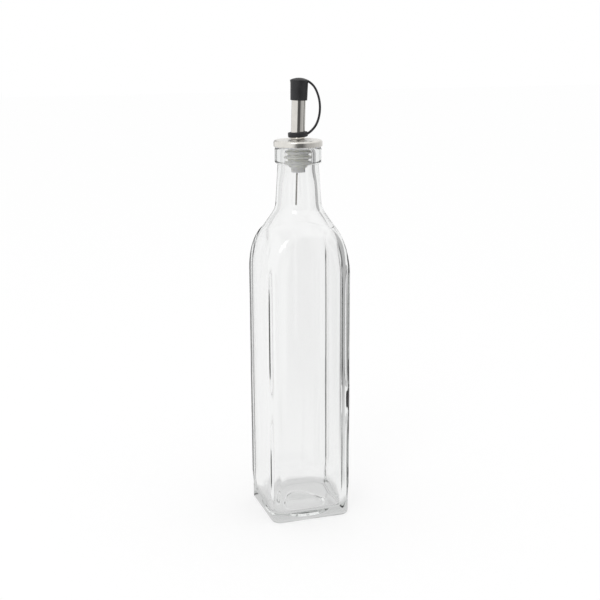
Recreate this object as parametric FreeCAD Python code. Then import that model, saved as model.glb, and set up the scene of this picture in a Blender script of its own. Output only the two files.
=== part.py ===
"""Square glass oil bottle with a pourer.

Frame: millimetres, +Z up, origin at the middle of the bottle's standing face.
The bottle's four panels face -X, +X, -Y and +Y.  Each solid is written to
parts/NODE.step.
"""
import FreeCAD, Part

import math
import os

Vector = FreeCAD.Vector
Z_AXIS = Vector(0, 0, 1)

# ---------------------------------------------------------------- glass body
BODY_SIDE = 60.0            # across two opposite panels
GLASS_HEIGHT = 266.0        # standing face to the top of the lip
CORNER_RADIUS = 7.5         # upright corners, seen from above
WALL = 3.2                  # panels and shoulder
INNER_CORNER_EXTRA = 4.7    # how much rounder the inside corners are than an even wall
FLOOR_THICKNESS = 5.5       # standing face to the inside floor
FLOOR_RADIUS = 4.5          # inside, floor to wall

HEEL_RADIUS = 2.2           # standing face to body
HEEL_INSET = 0.8            # the heel is this much narrower than the panels
HEEL_STRAIGHT_TOP = 14.0    # the narrow heel ends here
HEEL_BLEND_TOP = 24.0       # and the full width starts here
HEEL_STATIONS = 6

PUNT_RADIUS = 18.0          # round hollow under the base
PUNT_EDGE_HEIGHT = 1.6
PUNT_EDGE_WIDTH = 2.5
PUNT_DEPTH = 2.4
PUNT_ROUND = 1.5

# ------------------------------------------------- hollow facets on corners
FACET_DEPTH = 1.32          # below the rounded corner, along the diagonal
FACET_RADIUS = 8.0          # hollow across the facet
UPPER_FACET_OVERRUN = 10.0  # runs this far up past the start of the shoulder
UPPER_FACET_LENGTH = 91.0
UPPER_FACET_TOP_FADE = 29.0
UPPER_FACET_LOW_FADE = 18.0
LOWER_FACET_LOW = 11.0
LOWER_FACET_LENGTH = 71.0
LOWER_FACET_TOP_FADE = 36.0
LOWER_FACET_LOW_FADE = 19.0
FACET_END_GAP = 0.05        # the cut ends this far clear of the surface

# ------------------------------------------------------------ shoulder, neck
SHOULDER_BELOW_LIP = 89.0   # the panels start to curve in this far below the lip's top
SHOULDER_RISE = 36.0        # upright half-axis of the shoulder's ellipse
SHOULDER_DROP = 8.0         # level half-axis of the same ellipse
CORNER_GROWTH = 3.2         # corner radius gained for each mm a panel moves in
SHOULDER_STATIONS = 10
SHOULDER_LEAD = 8.0         # straight start of the shoulder's loft, below the curve
ROUND_SIDE_ANGLE = 2.0      # half the arc that each panel has become where the loft is round

NECK_TOP_RADIUS = 14.3      # just under the lip
NECK_TAPER = 0.063          # radius gained for each mm further down
NECK_ROOT_RADIUS = 14.0     # fillet between shoulder and neck
LIP_OVERHANG = 1.9          # the lip stands out this far from the neck
LIP_HEIGHT = 10.8
LIP_TOP_ROUND = 1.4
LIP_LOW_ROUND = 1.0
LIP_CREASE_ROUND = 0.6      # inside corner between neck and lip
BORE_RADIUS = 9.9           # mouth
BORE_FLARE = 0.8            # the mouth's rim is cut back this much
BORE_LENGTH = 16.0
BORE_BLEND = 9.0            # below the mouth's bore the inside widens over this height
BORE_BLEND_ROUND = 12.0
NECK_WALL = 3.5             # glass of the neck below that
INNER_ROOT_RADIUS = 12.0

# ------------------------------------------------------------------- pourer
FIT = 0.1                   # gap between pieces that are pushed together
SHEET = 0.6                 # steel of the cap plate and the spout

PLATE_OVERHANG = 0.7        # the plate is this much wider than the lip, all round
PLATE_SKIRT_LIFT = 0.7      # skirt's low edge above the glass
PLATE_HEIGHT = 5.0          # glass lip to the top of the plate
PLATE_CROWN = 0.5           # the middle stands this much higher
PLATE_ROUND = 1.8
PLATE_HEM_ROUND = 0.25      # skirt's low edge

SPOUT_RADIUS = 4.85
SPOUT_FOOT = 9.0            # reaches this far down below the glass lip
SPOUT_TIP = 45.2            # and this far above it

VENT_RADIUS = 0.58
VENT_BORE = 0.36
VENT_FOOT = 40.3            # below the glass lip
VENT_SHORT_OF_TIP = 9.2     # ends this far inside the spout

PLUG_CORE_RADIUS = 7.2
PLUG_CORE_LENGTH = 11.4     # below the glass lip
PLUG_STEP_RADIUS = 6.4
PLUG_STEP_LENGTH = 13.8
PLUG_NOSE_RADIUS = 4.9
PLUG_LENGTH = 16.9
PLUG_EDGE = 0.5
FIN_COUNT = 3
FIN_PITCH = 3.5
FIRST_FIN_DROP = 2.6        # below the glass lip
FIN_THICKNESS = 0.9
FIN_SLOPE = 0.9
FIN_EDGE = 0.3
PASSAGE_RADIUS = 3.4
NOSE_WALL = 1.6
INLET_RADIUS = 0.85
INLET_COUNT = 3
INLET_CIRCLE_RADIUS = 2.35

LEAN = 1.85                 # the spout leans by this many degrees
LEAN_PIVOT = 11.0           # about this height above the glass lip
LEAN_BEARING = -18.0        # the lean and the tether point this way, from +X

# -------------------------------------------------- rubber cap with a tether
CAP_LENGTH = 15.1
CAP_CROWN = 1.6             # rubber above the spout's tip
CAP_WALL = 0.85             # at its open end
CAP_SPREAD = 0.25           # wider by this much below the rim
CAP_RIM = 0.35              # and the rim stands out this much more
CAP_RIM_DROP = 2.2          # height over which the rim flares
CAP_DOME_BEND = 13.8
CAP_FLARE_ROUND = 4.0       # where the rim's flare starts
CAP_HEM_ROUND = 0.4

RING_WALL = 1.75
RING_HEIGHT = 3.4
RING_MIDDLE = 8.6           # above the glass lip
RING_ROUND = 0.7
RING_TILT = 5.0             # degrees, up towards the tether
RING_GAP = 0.25             # round the spout

TETHER_THICKNESS = 1.5
TETHER_WIDTH = 3.4
TETHER_REACH = 14.65        # its middle line's furthest point from the spout's axis
TETHER_TOP_TURN = 26.8      # degrees above level where the cap's curve gives way
TETHER_LOW_TURN = -16.2     # and where the tighter low curve starts
TETHER_ROOT = 66.0          # it starts inside the cap's dome at this angle
TETHER_BITE = 0.6           # its foot reaches this far into the ring


# ------------------------------------------------------------ shared helpers
def rounded_outline(corners):
    """Closed wire in the XZ plane from (x, z, radius) corners, rounded by arcs."""
    points = [Vector(x, 0, z) for x, z, _ in corners]
    edges = []
    cuts = []
    count = len(points)
    for i, (_, _, radius) in enumerate(corners):
        here = points[i]
        back = (points[i - 1] - here).normalize()
        ahead = (points[(i + 1) % count] - here).normalize()
        if radius <= 0:
            cuts.append((here, here, here))
            continue
        half_angle = back.getAngle(ahead) / 2
        run = radius / math.tan(half_angle)
        to_middle = (back + ahead).normalize()
        apex_gap = radius / math.sin(half_angle) - radius
        cuts.append((here + back * run, here + to_middle * apex_gap, here + ahead * run))
    for i, (start, middle, end) in enumerate(cuts):
        if start != end:
            edges.append(Part.Arc(start, middle, end).toShape())
        following = cuts[(i + 1) % count][0]
        if end.distanceToPoint(following) > 1e-6:
            edges.append(Part.LineSegment(end, following).toShape())
    return Part.Wire(edges)


def turned(corners):
    """Solid of revolution about Z from a rounded XZ outline."""
    return Part.Face(rounded_outline(corners)).revolve(Vector(0, 0, 0), Z_AXIS, 360)


def rod(radius, low, high):
    """Upright cylinder on the Z axis between two heights."""
    return Part.makeCylinder(radius, high - low, Vector(0, 0, low))


def square_section(half, radius, height):
    """Level wire of eight edges: four sides and four corner arcs."""
    flat = half - radius
    edges = []
    for quarter in range(4):
        turn = FreeCAD.Rotation(Z_AXIS, 90 * quarter)
        side_start = Vector(half, -flat, height)
        side_end = Vector(half, flat, height)
        bow = math.radians(45)
        middle = Vector(flat + radius * math.cos(bow), flat + radius * math.sin(bow), height)
        corner_end = Vector(flat, half, height)
        side = Part.LineSegment(turn.multVec(side_start), turn.multVec(side_end))
        corner = Part.Arc(turn.multVec(side_end), turn.multVec(middle), turn.multVec(corner_end))
        edges += [side.toShape(), corner.toShape()]
    return Part.Wire(edges)


def round_section(radius, height):
    """Circle cut into the same eight edges as a square section."""
    def on_circle(degrees):
        angle = math.radians(degrees)
        return Vector(radius * math.cos(angle), radius * math.sin(angle), height)

    edges = []
    for quarter in range(4):
        facing = 90 * quarter
        before = facing - ROUND_SIDE_ANGLE
        after = facing + ROUND_SIDE_ANGLE
        following = facing + 90 - ROUND_SIDE_ANGLE
        edges.append(Part.Arc(on_circle(before), on_circle(facing), on_circle(after)).toShape())
        edges.append(Part.Arc(on_circle(after), on_circle(facing + 45), on_circle(following)).toShape())
    return Part.Wire(edges)


def lofted(wires):
    return Part.makeLoft(wires, True, False)


# --------------------------------------------------------------- glass bottle
HALF = BODY_SIDE / 2
SHOULDER_LOW = GLASS_HEIGHT - SHOULDER_BELOW_LIP
LIP_RADIUS = NECK_TOP_RADIUS + LIP_OVERHANG


def shoulder_station(fraction, extra=0.0):
    """(half width, corner radius, height, slope) at a fraction of the shoulder's ellipse."""
    bow = math.sqrt(1 - fraction ** 2)
    half = HALF - SHOULDER_DROP * (1 - bow)
    radius = CORNER_RADIUS + extra + CORNER_GROWTH * (HALF - half)
    slope = SHOULDER_DROP * fraction / (SHOULDER_RISE * bow)
    return half, radius, SHOULDER_LOW + SHOULDER_RISE * fraction, slope


def round_fraction(extra):
    """Fraction of the ellipse at which the section has become a full circle."""
    half = (CORNER_GROWTH * HALF + CORNER_RADIUS + extra) / (1 + CORNER_GROWTH)
    return math.sqrt(1 - (1 - (HALF - half) / SHOULDER_DROP) ** 2)


def shoulder_stations(extra, wall):
    """Stations from above the panels' top edge to the circle, a wall's thickness inside."""
    stations = []
    for i in range(1, SHOULDER_STATIONS + 1):
        share = math.sin(math.radians(90 * i / SHOULDER_STATIONS))
        half, radius, height, slope = shoulder_station(round_fraction(extra) * share, extra)
        tilt = math.atan(slope)
        inward = wall * math.cos(tilt)
        stations.append((half - inward, radius - inward, height - wall * math.sin(tilt), slope))
    return stations


def shoulder_solid(low, extra=0.0, wall=0.0):
    """Loft from the square body to a circle, a wall's thickness inside the outside."""
    body = (HALF - wall, CORNER_RADIUS + extra - wall)
    sections = [square_section(*body, low), square_section(*body, low + SHOULDER_LEAD / 2)]
    stations = shoulder_stations(extra, wall)
    for half, radius, height, _ in stations[:-1]:
        sections.append(square_section(half, radius, height))
    last_radius, _, last_height, last_slope = stations[-1]
    sections.append(round_section(last_radius, last_height))
    return lofted(sections), last_radius, last_height, last_slope


def neck_cone(height):
    """Outside radius of the neck at a height."""
    return NECK_TOP_RADIUS + (GLASS_HEIGHT - LIP_HEIGHT - height) * NECK_TAPER


def meet(radius, height, slope, cone):
    """Point where the shoulder's straight flank reaches a cone given by a function."""
    step = 0.01
    while radius > cone(height):
        height += step
        radius -= slope * step
    return radius, height


def outer_neck(radius, height, slope):
    """Flank, neck and lip, turned in one."""
    root_radius, root_height = meet(radius, height, slope, neck_cone)
    lip_low = GLASS_HEIGHT - LIP_HEIGHT
    return turned([
        (0, height, 0),
        (radius, height, 0),
        (root_radius, root_height, NECK_ROOT_RADIUS),
        (NECK_TOP_RADIUS, lip_low, LIP_CREASE_ROUND),
        (LIP_RADIUS, lip_low, LIP_LOW_ROUND),
        (LIP_RADIUS, GLASS_HEIGHT, LIP_TOP_ROUND),
        (0, GLASS_HEIGHT, 0),
    ])


def neck_bore(height):
    """Inside radius of the neck at a height below the mouth's bore."""
    return neck_cone(height) - NECK_WALL


def inner_neck(radius, height, slope):
    """The space inside flank, neck and mouth."""
    root_radius, root_height = meet(radius, height, slope, neck_bore)
    bore_low = GLASS_HEIGHT - BORE_LENGTH
    return turned([
        (0, height, 0),
        (radius, height, 0),
        (root_radius, root_height, INNER_ROOT_RADIUS),
        (neck_bore(bore_low - BORE_BLEND), bore_low - BORE_BLEND, BORE_BLEND_ROUND),
        (BORE_RADIUS, bore_low, BORE_BLEND_ROUND),
        (BORE_RADIUS, GLASS_HEIGHT - BORE_FLARE, 0),
        (BORE_RADIUS + BORE_FLARE, GLASS_HEIGHT, 0),
        (BORE_RADIUS + BORE_FLARE, GLASS_HEIGHT + 1, 0),
        (0, GLASS_HEIGHT + 1, 0),
    ])


def corner_reach(half, radius):
    """Distance from the axis to the rounded corner, along the diagonal."""
    return half * math.sqrt(2) - (math.sqrt(2) - 1) * radius


def facet_cutter(low, flat_low, flat_high, high, low_reach, high_reach):
    """Round bar on the +X side, bent away at both ends, whose near side is one hollow facet."""
    flat = corner_reach(HALF, CORNER_RADIUS) - FACET_DEPTH
    middle = flat + FACET_RADIUS
    bar = Part.makeCylinder(FACET_RADIUS, flat_high - flat_low, Vector(middle, 0, flat_low))
    bends = []
    for flat_z, end_z, end_reach in ((flat_low, low, low_reach), (flat_high, high, high_reach)):
        rise = end_z - flat_z
        gain = end_reach - flat
        bend = (rise ** 2 + gain ** 2) / (2 * gain)
        disc = Part.Face(Part.Wire(Part.makeCircle(FACET_RADIUS, Vector(middle, 0, flat_z))))
        turn = math.degrees(math.asin(rise / bend))
        bends.append(disc.revolve(Vector(flat + bend, 0, flat_z), Vector(0, 1, 0), turn))
    return bar.fuse(bends).removeSplitter()


def facet_cutters():
    """Upper and lower facet bars for all four corners."""
    body_reach = corner_reach(HALF, CORNER_RADIUS) + FACET_END_GAP
    top_half, top_corner, _, _ = shoulder_station(UPPER_FACET_OVERRUN / SHOULDER_RISE)
    top_reach = corner_reach(top_half, top_corner) + FACET_END_GAP
    heel_reach = corner_reach(HALF - HEEL_INSET, CORNER_RADIUS - HEEL_INSET) + FACET_END_GAP
    high = SHOULDER_LOW + UPPER_FACET_OVERRUN
    low = high - UPPER_FACET_LENGTH
    upper = facet_cutter(low, low + UPPER_FACET_LOW_FADE, high - UPPER_FACET_TOP_FADE, high,
                         body_reach, top_reach)
    low = LOWER_FACET_LOW
    high = low + LOWER_FACET_LENGTH
    lower = facet_cutter(low, low + LOWER_FACET_LOW_FADE, high - LOWER_FACET_TOP_FADE, high,
                         heel_reach, body_reach)
    bars = []
    for quarter in range(4):
        for bar in (upper, lower):
            corner_bar = bar.copy()
            corner_bar.rotate(Vector(0, 0, 0), Z_AXIS, 45 + 90 * quarter)
            bars.append(corner_bar)
    return bars


def heel():
    """The narrow foot of the body with its rounded standing edge, and the blend above it."""
    half = HALF - HEEL_INSET
    corner = CORNER_RADIUS - HEEL_INSET
    foot = Part.Face(square_section(half, corner, 0)).extrude(Vector(0, 0, HEEL_STRAIGHT_TOP))
    low_edges = [e for e in foot.Edges if e.BoundBox.ZMax < 1e-6]
    foot = foot.makeFillet(HEEL_RADIUS, low_edges)
    sections = []
    for i in range(HEEL_STATIONS + 1):
        share = i / HEEL_STATIONS
        inset = HEEL_INSET * (1 - share * share * (3 - 2 * share))
        height = HEEL_STRAIGHT_TOP + share * (HEEL_BLEND_TOP - HEEL_STRAIGHT_TOP)
        sections.append(square_section(HALF - inset, CORNER_RADIUS - inset, height))
    return foot, lofted(sections)


def bottle_glass():
    foot, blend = heel()
    straight_top = SHOULDER_LOW - SHOULDER_LEAD
    body = Part.Face(square_section(HALF, CORNER_RADIUS, HEEL_BLEND_TOP))
    body = body.extrude(Vector(0, 0, straight_top - HEEL_BLEND_TOP))
    shoulder, radius, height, slope = shoulder_solid(straight_top)
    outside = foot.fuse([blend, body, shoulder, outer_neck(radius, height, slope)])
    outside = outside.cut(facet_cutters())

    inner_half = HALF - WALL
    inner_corner = CORNER_RADIUS - WALL + INNER_CORNER_EXTRA
    hollow = Part.Face(square_section(inner_half, inner_corner, FLOOR_THICKNESS))
    hollow = hollow.extrude(Vector(0, 0, straight_top - FLOOR_THICKNESS))
    floor_edges = [e for e in hollow.Edges if e.BoundBox.ZMax < FLOOR_THICKNESS + 1e-6]
    hollow = hollow.makeFillet(FLOOR_RADIUS, floor_edges)
    inner_shoulder, radius, height, slope = shoulder_solid(straight_top, INNER_CORNER_EXTRA, WALL)
    hollow = hollow.fuse([inner_shoulder, inner_neck(radius, height, slope)])

    punt = turned([
        (0, -1, 0),
        (PUNT_RADIUS, -1, 0),
        (PUNT_RADIUS, 0, 0),
        (PUNT_RADIUS - PUNT_EDGE_WIDTH, PUNT_EDGE_HEIGHT, PUNT_ROUND),
        (0, PUNT_DEPTH, 0),
    ])
    return outside.cut([hollow, punt]).removeSplitter()


# --------------------------------------------------------------------- pourer
PLATE_RADIUS = LIP_RADIUS + PLATE_OVERHANG
CAP_TOP = SPOUT_TIP + FIT + CAP_CROWN
CAP_LOW = CAP_TOP - CAP_LENGTH
CAP_RADIUS = SPOUT_RADIUS + FIT + CAP_WALL
RING_RADIUS = SPOUT_RADIUS + RING_GAP + RING_WALL


def leaning(shape):
    """Lean a shape made about the Z axis, and turn it to the tether's bearing."""
    placed = shape.copy()
    pivot = Vector(0, 0, GLASS_HEIGHT + LEAN_PIVOT)
    placed.rotate(pivot, Vector(0, 1, 0), LEAN)
    placed.rotate(Vector(0, 0, 0), Z_AXIS, LEAN_BEARING)
    return placed


def spout_seat(radius):
    """Leaning hole for the spout from its foot upwards."""
    return leaning(rod(radius, GLASS_HEIGHT - SPOUT_FOOT, GLASS_HEIGHT + SPOUT_TIP))


def cap_plate():
    """Pressed steel disc with a short skirt over the lip."""
    low = GLASS_HEIGHT + PLATE_SKIRT_LIFT
    top = GLASS_HEIGHT + PLATE_HEIGHT
    crown = top + PLATE_CROWN
    inside = PLATE_RADIUS - SHEET
    plate = turned([
        (0, crown - SHEET, 0),
        (inside, top - SHEET, PLATE_ROUND - SHEET),
        (inside, low, 0),
        (PLATE_RADIUS, low, PLATE_HEM_ROUND),
        (PLATE_RADIUS, top, PLATE_ROUND),
        (0, crown, 0),
    ])
    return plate.cut(spout_seat(SPOUT_RADIUS + FIT))


def stopper():
    """Translucent plug with fins, a flange under the plate, and the oil inlets."""
    lip = GLASS_HEIGHT
    flange_radius = PLATE_RADIUS - SHEET - FIT
    flange_top = lip + PLATE_HEIGHT - SHEET - FIT
    plug = turned([
        (0, lip - PLUG_LENGTH, 0),
        (PLUG_NOSE_RADIUS, lip - PLUG_LENGTH, PLUG_EDGE),
        (PLUG_NOSE_RADIUS, lip - PLUG_STEP_LENGTH, 0),
        (PLUG_STEP_RADIUS, lip - PLUG_STEP_LENGTH, PLUG_EDGE),
        (PLUG_STEP_RADIUS, lip - PLUG_CORE_LENGTH, 0),
        (PLUG_CORE_RADIUS, lip - PLUG_CORE_LENGTH, PLUG_EDGE),
        (PLUG_CORE_RADIUS, lip, 0),
        (flange_radius, lip, 0),
        (flange_radius, flange_top, PLATE_ROUND - SHEET),
        (0, flange_top, 0),
    ])
    fin_radius = BORE_RADIUS - FIT
    fins = []
    for i in range(FIN_COUNT):
        top = lip - FIRST_FIN_DROP - i * FIN_PITCH
        fins.append(turned([
            (0, top - FIN_THICKNESS - FIN_SLOPE, 0),
            (PLUG_CORE_RADIUS, top - FIN_THICKNESS - FIN_SLOPE, 0),
            (fin_radius, top - FIN_THICKNESS, FIN_EDGE),
            (fin_radius, top, FIN_EDGE),
            (0, top, 0),
        ]))
    plug = plug.fuse(fins).removeSplitter()
    cuts = [spout_seat(SPOUT_RADIUS + FIT)]
    cuts.append(rod(PASSAGE_RADIUS, lip - PLUG_LENGTH + NOSE_WALL, lip - SPOUT_FOOT + 1))
    cuts.append(leaning(rod(VENT_RADIUS + FIT / 2, lip - VENT_FOOT, lip)))
    for i in range(INLET_COUNT):
        angle = math.radians(LEAN_BEARING + 360 * i / INLET_COUNT)
        centre = Vector(INLET_CIRCLE_RADIUS * math.cos(angle), INLET_CIRCLE_RADIUS * math.sin(angle),
                        lip - PLUG_LENGTH - 1)
        cuts.append(Part.makeCylinder(INLET_RADIUS, NOSE_WALL + 2, centre))
    return plug.cut(cuts)


def spout():
    """Steel tube from the plug up into the rubber cap."""
    low = GLASS_HEIGHT - SPOUT_FOOT
    high = GLASS_HEIGHT + SPOUT_TIP
    tube = rod(SPOUT_RADIUS, low, high).cut(rod(SPOUT_RADIUS - SHEET, low - 1, high + 1))
    return leaning(tube)


def vent_tube():
    """Thin steel tube that lets air in while oil runs out."""
    low = GLASS_HEIGHT - VENT_FOOT
    high = GLASS_HEIGHT + SPOUT_TIP - VENT_SHORT_OF_TIP
    return leaning(rod(VENT_RADIUS, low, high).cut(rod(VENT_BORE, low - 1, high + 1)))


def arc_point(centre, radius, degrees):
    angle = math.radians(degrees)
    return Vector(centre.x + radius * math.cos(angle), 0, centre.z + radius * math.sin(angle))


def tether_arcs():
    """Middle line of the tether: (centre, bend radius, start angle, end angle), top to foot."""
    top_bend = CAP_DOME_BEND - TETHER_THICKNESS / 2
    top_centre = Vector(0, 0, GLASS_HEIGHT + CAP_TOP - CAP_DOME_BEND)
    share = math.cos(math.radians(TETHER_TOP_TURN))
    long_bend = (TETHER_REACH - top_bend * share) / (1 - share)
    long_centre = arc_point(top_centre, top_bend - long_bend, TETHER_TOP_TURN)
    foot_reach = RING_RADIUS - TETHER_BITE
    foot = Vector(foot_reach, 0, GLASS_HEIGHT + RING_MIDDLE
                  + foot_reach * math.tan(math.radians(RING_TILT)))
    low_start = arc_point(long_centre, long_bend, TETHER_LOW_TURN)
    outward = (low_start - long_centre).normalize()
    span = foot - low_start
    low_bend = -span.dot(span) / (2 * span.dot(outward))
    low_centre = low_start - outward * low_bend
    foot_angle = math.degrees(math.atan2(foot.z - low_centre.z, foot.x - low_centre.x))
    return [
        (top_centre, top_bend, TETHER_ROOT, TETHER_TOP_TURN),
        (long_centre, long_bend, TETHER_TOP_TURN, TETHER_LOW_TURN),
        (low_centre, low_bend, TETHER_LOW_TURN, foot_angle),
    ]


def tether():
    """Flat strap that runs on from the cap's dome, out and down to the ring."""
    def side(shift):
        edges = []
        for centre, bend, start, end in tether_arcs():
            points = [arc_point(centre, bend + shift, a) for a in (start, (start + end) / 2, end)]
            edges.append(Part.Arc(*points).toShape())
        return edges

    outer = side(TETHER_THICKNESS / 2)
    inner = side(-TETHER_THICKNESS / 2)
    ends = []
    for i, vertex in ((0, 0), (-1, -1)):
        corners = (outer[i].Vertexes[vertex].Point, inner[i].Vertexes[vertex].Point)
        ends.append(Part.LineSegment(*corners).toShape())
    face = Part.Face(Part.Wire(Part.__sortEdges__(outer + inner + ends)))
    face.translate(Vector(0, -TETHER_WIDTH / 2, 0))
    return face.extrude(Vector(0, TETHER_WIDTH, 0))


def rubber_cap():
    """Cap, tether and ring, moulded as one."""
    low = GLASS_HEIGHT + CAP_LOW
    top = GLASS_HEIGHT + CAP_TOP
    dome_centre = Vector(0, 0, top - CAP_DOME_BEND)
    rim_radius = CAP_RADIUS + CAP_SPREAD + CAP_RIM
    rim_height = dome_centre.z + math.sqrt(CAP_DOME_BEND ** 2 - rim_radius ** 2)
    shell = turned([
        (0, low, 0),
        (CAP_RADIUS, low, CAP_HEM_ROUND),
        (CAP_RADIUS + CAP_SPREAD, rim_height - CAP_RIM_DROP, CAP_FLARE_ROUND),
        (rim_radius, rim_height, 0),
        (rim_radius, top, 0),
        (0, top, 0),
    ])
    shell = shell.common(Part.makeSphere(CAP_DOME_BEND, dome_centre))
    ring_low = GLASS_HEIGHT + RING_MIDDLE - RING_HEIGHT / 2
    ring = turned([
        (0, ring_low, 0),
        (RING_RADIUS, ring_low, RING_ROUND),
        (RING_RADIUS, ring_low + RING_HEIGHT, RING_ROUND),
        (0, ring_low + RING_HEIGHT, 0),
    ])
    ring.rotate(Vector(0, 0, GLASS_HEIGHT + RING_MIDDLE), Vector(0, 1, 0), -RING_TILT)
    moulding = shell.fuse([ring, tether()])
    socket = rod(SPOUT_RADIUS + FIT, low - 1, GLASS_HEIGHT + SPOUT_TIP + FIT)
    eye = rod(SPOUT_RADIUS + RING_GAP, GLASS_HEIGHT, low - 1)
    return leaning(moulding.cut([socket, eye]).removeSplitter())


# --------------------------------------------------------------------- output
def main():
    os.makedirs("parts", exist_ok=True)
    nodes = {
        "bottle_glass": bottle_glass(),
        "stopper": stopper(),
        "cap_plate": cap_plate(),
        "spout_tube": spout(),
        "vent_tube": vent_tube(),
        "rubber_cap": rubber_cap(),
    }
    for name, shape in nodes.items():
        solids = shape.Solids
        print(name, "solids", len(solids), "valid", shape.isValid(), "volume", round(shape.Volume, 1))
        solids[0].exportStep("parts/" + name + ".step")


main()
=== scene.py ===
"""Fine meshes, finishes and studio for a square oil bottle with a pourer.

The pieces are sized in millimetres, in the part's own frame (+Z up, origin in
the middle of the standing face), and are brought to metres as they are made.
"""
from __future__ import annotations

import logging
import math
from dataclasses import dataclass, replace
from enum import Enum
from typing import Optional, Sequence

import bmesh
import bpy
from bpy.types import Material, NodeSocket, NodeTree, Object
from mathutils import Matrix, Vector


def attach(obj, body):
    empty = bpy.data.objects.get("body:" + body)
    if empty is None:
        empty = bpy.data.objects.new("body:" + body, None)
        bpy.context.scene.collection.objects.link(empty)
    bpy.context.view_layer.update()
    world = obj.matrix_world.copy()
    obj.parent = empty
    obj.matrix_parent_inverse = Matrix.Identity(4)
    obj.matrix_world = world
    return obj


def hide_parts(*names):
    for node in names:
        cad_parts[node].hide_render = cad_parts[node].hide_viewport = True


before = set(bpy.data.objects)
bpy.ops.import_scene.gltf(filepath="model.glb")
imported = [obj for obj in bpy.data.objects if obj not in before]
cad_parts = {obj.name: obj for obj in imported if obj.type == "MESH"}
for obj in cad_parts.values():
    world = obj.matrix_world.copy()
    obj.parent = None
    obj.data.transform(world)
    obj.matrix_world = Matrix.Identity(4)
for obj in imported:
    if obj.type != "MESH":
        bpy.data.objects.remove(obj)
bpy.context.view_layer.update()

log = logging.getLogger("oil_bottle")
MM = 0.001
WHITE = (1.0, 1.0, 1.0, 1.0)
Point = tuple[float, float]
Corner = tuple[float, float, float]
Axes = tuple[float, float, float]
Colour = tuple[float, float, float]
Tones = tuple[Point, Point]


class CadNode(Enum):
    """The part's own nodes."""

    BOTTLE = "bottle_glass"
    PLUG = "stopper"
    PLATE = "cap_plate"
    SPOUT = "spout_tube"
    VENT = "vent_tube"
    CAP = "rubber_cap"


class Slot(Enum):
    """Names of the material slots."""

    GLASS = "glass"
    PLUG = "plug"
    STEEL = "steel"
    RUBBER = "rubber"


# ------------------------------------------------------------------ outlines
def rounded_path(corners: Sequence[Corner], closed: bool = False,
                 bow: float = 12.0) -> list[Point]:
    """Turn sharp corners into arcs.

    Args:
        corners: (across, height, radius) for each corner of the path.
        closed: whether the last corner leads back to the first.
        bow: the most that one short chord of an arc turns, in degrees.

    Returns:
        Points along the path.
    """
    points: list[Point] = []
    count = len(corners)
    for i, (x, z, radius) in enumerate(corners):
        here = Vector((x, z))
        if radius <= 0 or (not closed and i in (0, count - 1)):
            points.append((x, z))
            continue
        back = (Vector(corners[i - 1][:2]) - here).normalized()
        ahead = (Vector(corners[(i + 1) % count][:2]) - here).normalized()
        opening = back.angle(ahead)
        middle = (back + ahead).normalized()
        centre = here + middle * (radius / math.sin(opening / 2))
        start = here + back * (radius / math.tan(opening / 2)) - centre
        turn = math.pi - opening
        side = math.copysign(1.0, back.x * ahead.y - back.y * ahead.x)
        steps = max(2, math.ceil(math.degrees(turn) / bow))
        for step in range(steps + 1):
            angle = -side * turn * step / steps
            spoke = Matrix.Rotation(angle, 2) @ start
            points.append((centre.x + spoke.x, centre.y + spoke.y))
    return points


@dataclass(frozen=True)
class Station:
    """One level outline of the bottle, from a rounded square to a full circle.

    Attributes:
        half: axis to panel.
        corner: radius of the upright corners.
        height: level of the outline.
        facet: axis to the middle of the hollow facets, along the diagonal.
    """

    half: float
    corner: float
    height: float
    facet: float = math.inf

    def reach(self, angle: float, hollow: float, softness: float) -> float:
        """Distance from the axis to the outline.

        Args:
            angle: direction, in radians from +X.
            hollow: radius of the hollow across a facet.
            softness: how far the edges of the facet are eased.

        Returns:
            The distance.
        """
        fold = abs((angle + math.pi / 4) % (math.pi / 2) - math.pi / 4)
        flat = self.half - self.corner
        if self.half * math.tan(fold) <= flat:
            reach = self.half / math.cos(fold)
        else:
            along = flat * (math.cos(fold) + math.sin(fold))
            reach = along + math.sqrt(max(0.0, along ** 2 - 2 * flat ** 2 + self.corner ** 2))
        if math.isinf(self.facet):
            return reach
        middle = self.facet + hollow
        aside = middle * math.sin(math.pi / 4 - fold)
        if aside >= hollow:
            return reach
        cut = middle * math.cos(math.pi / 4 - fold) - math.sqrt(hollow ** 2 - aside ** 2)
        return min(reach, cut) - softness * math.log1p(math.exp(-abs(reach - cut) / softness))


def round_stations(points: Sequence[Point]) -> list[Station]:
    """Circular outlines through (radius, height) points."""
    return [Station(radius, radius, height) for radius, height in points]


# -------------------------------------------------------------- mesh helpers
def spun(outline: Sequence[Point], closed: bool, steps: int = 96) -> bmesh.types.BMesh:
    """Turn an outline about the Z axis.

    Args:
        outline: (radius, height) points; an open outline starts and ends on the axis.
        closed: whether the outline is a ring that leads back to its start.
        steps: number of steps round the axis.

    Returns:
        A closed mesh in millimetres.
    """
    mesh = bmesh.new()
    verts = [mesh.verts.new((radius, 0.0, height)) for radius, height in outline]
    pairs = list(zip(verts, verts[1:]))
    if closed:
        pairs.append((verts[-1], verts[0]))
    edges = [mesh.edges.new(pair) for pair in pairs]
    bmesh.ops.spin(mesh, geom=verts + edges, cent=(0, 0, 0), axis=(0, 0, 1), dvec=(0, 0, 0),
                   angle=2 * math.pi, steps=steps, use_merge=True, use_normal_flip=False,
                   use_duplicate=False)
    bmesh.ops.remove_doubles(mesh, verts=mesh.verts, dist=1e-4)
    bmesh.ops.recalc_face_normals(mesh, faces=mesh.faces)
    return mesh


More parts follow.
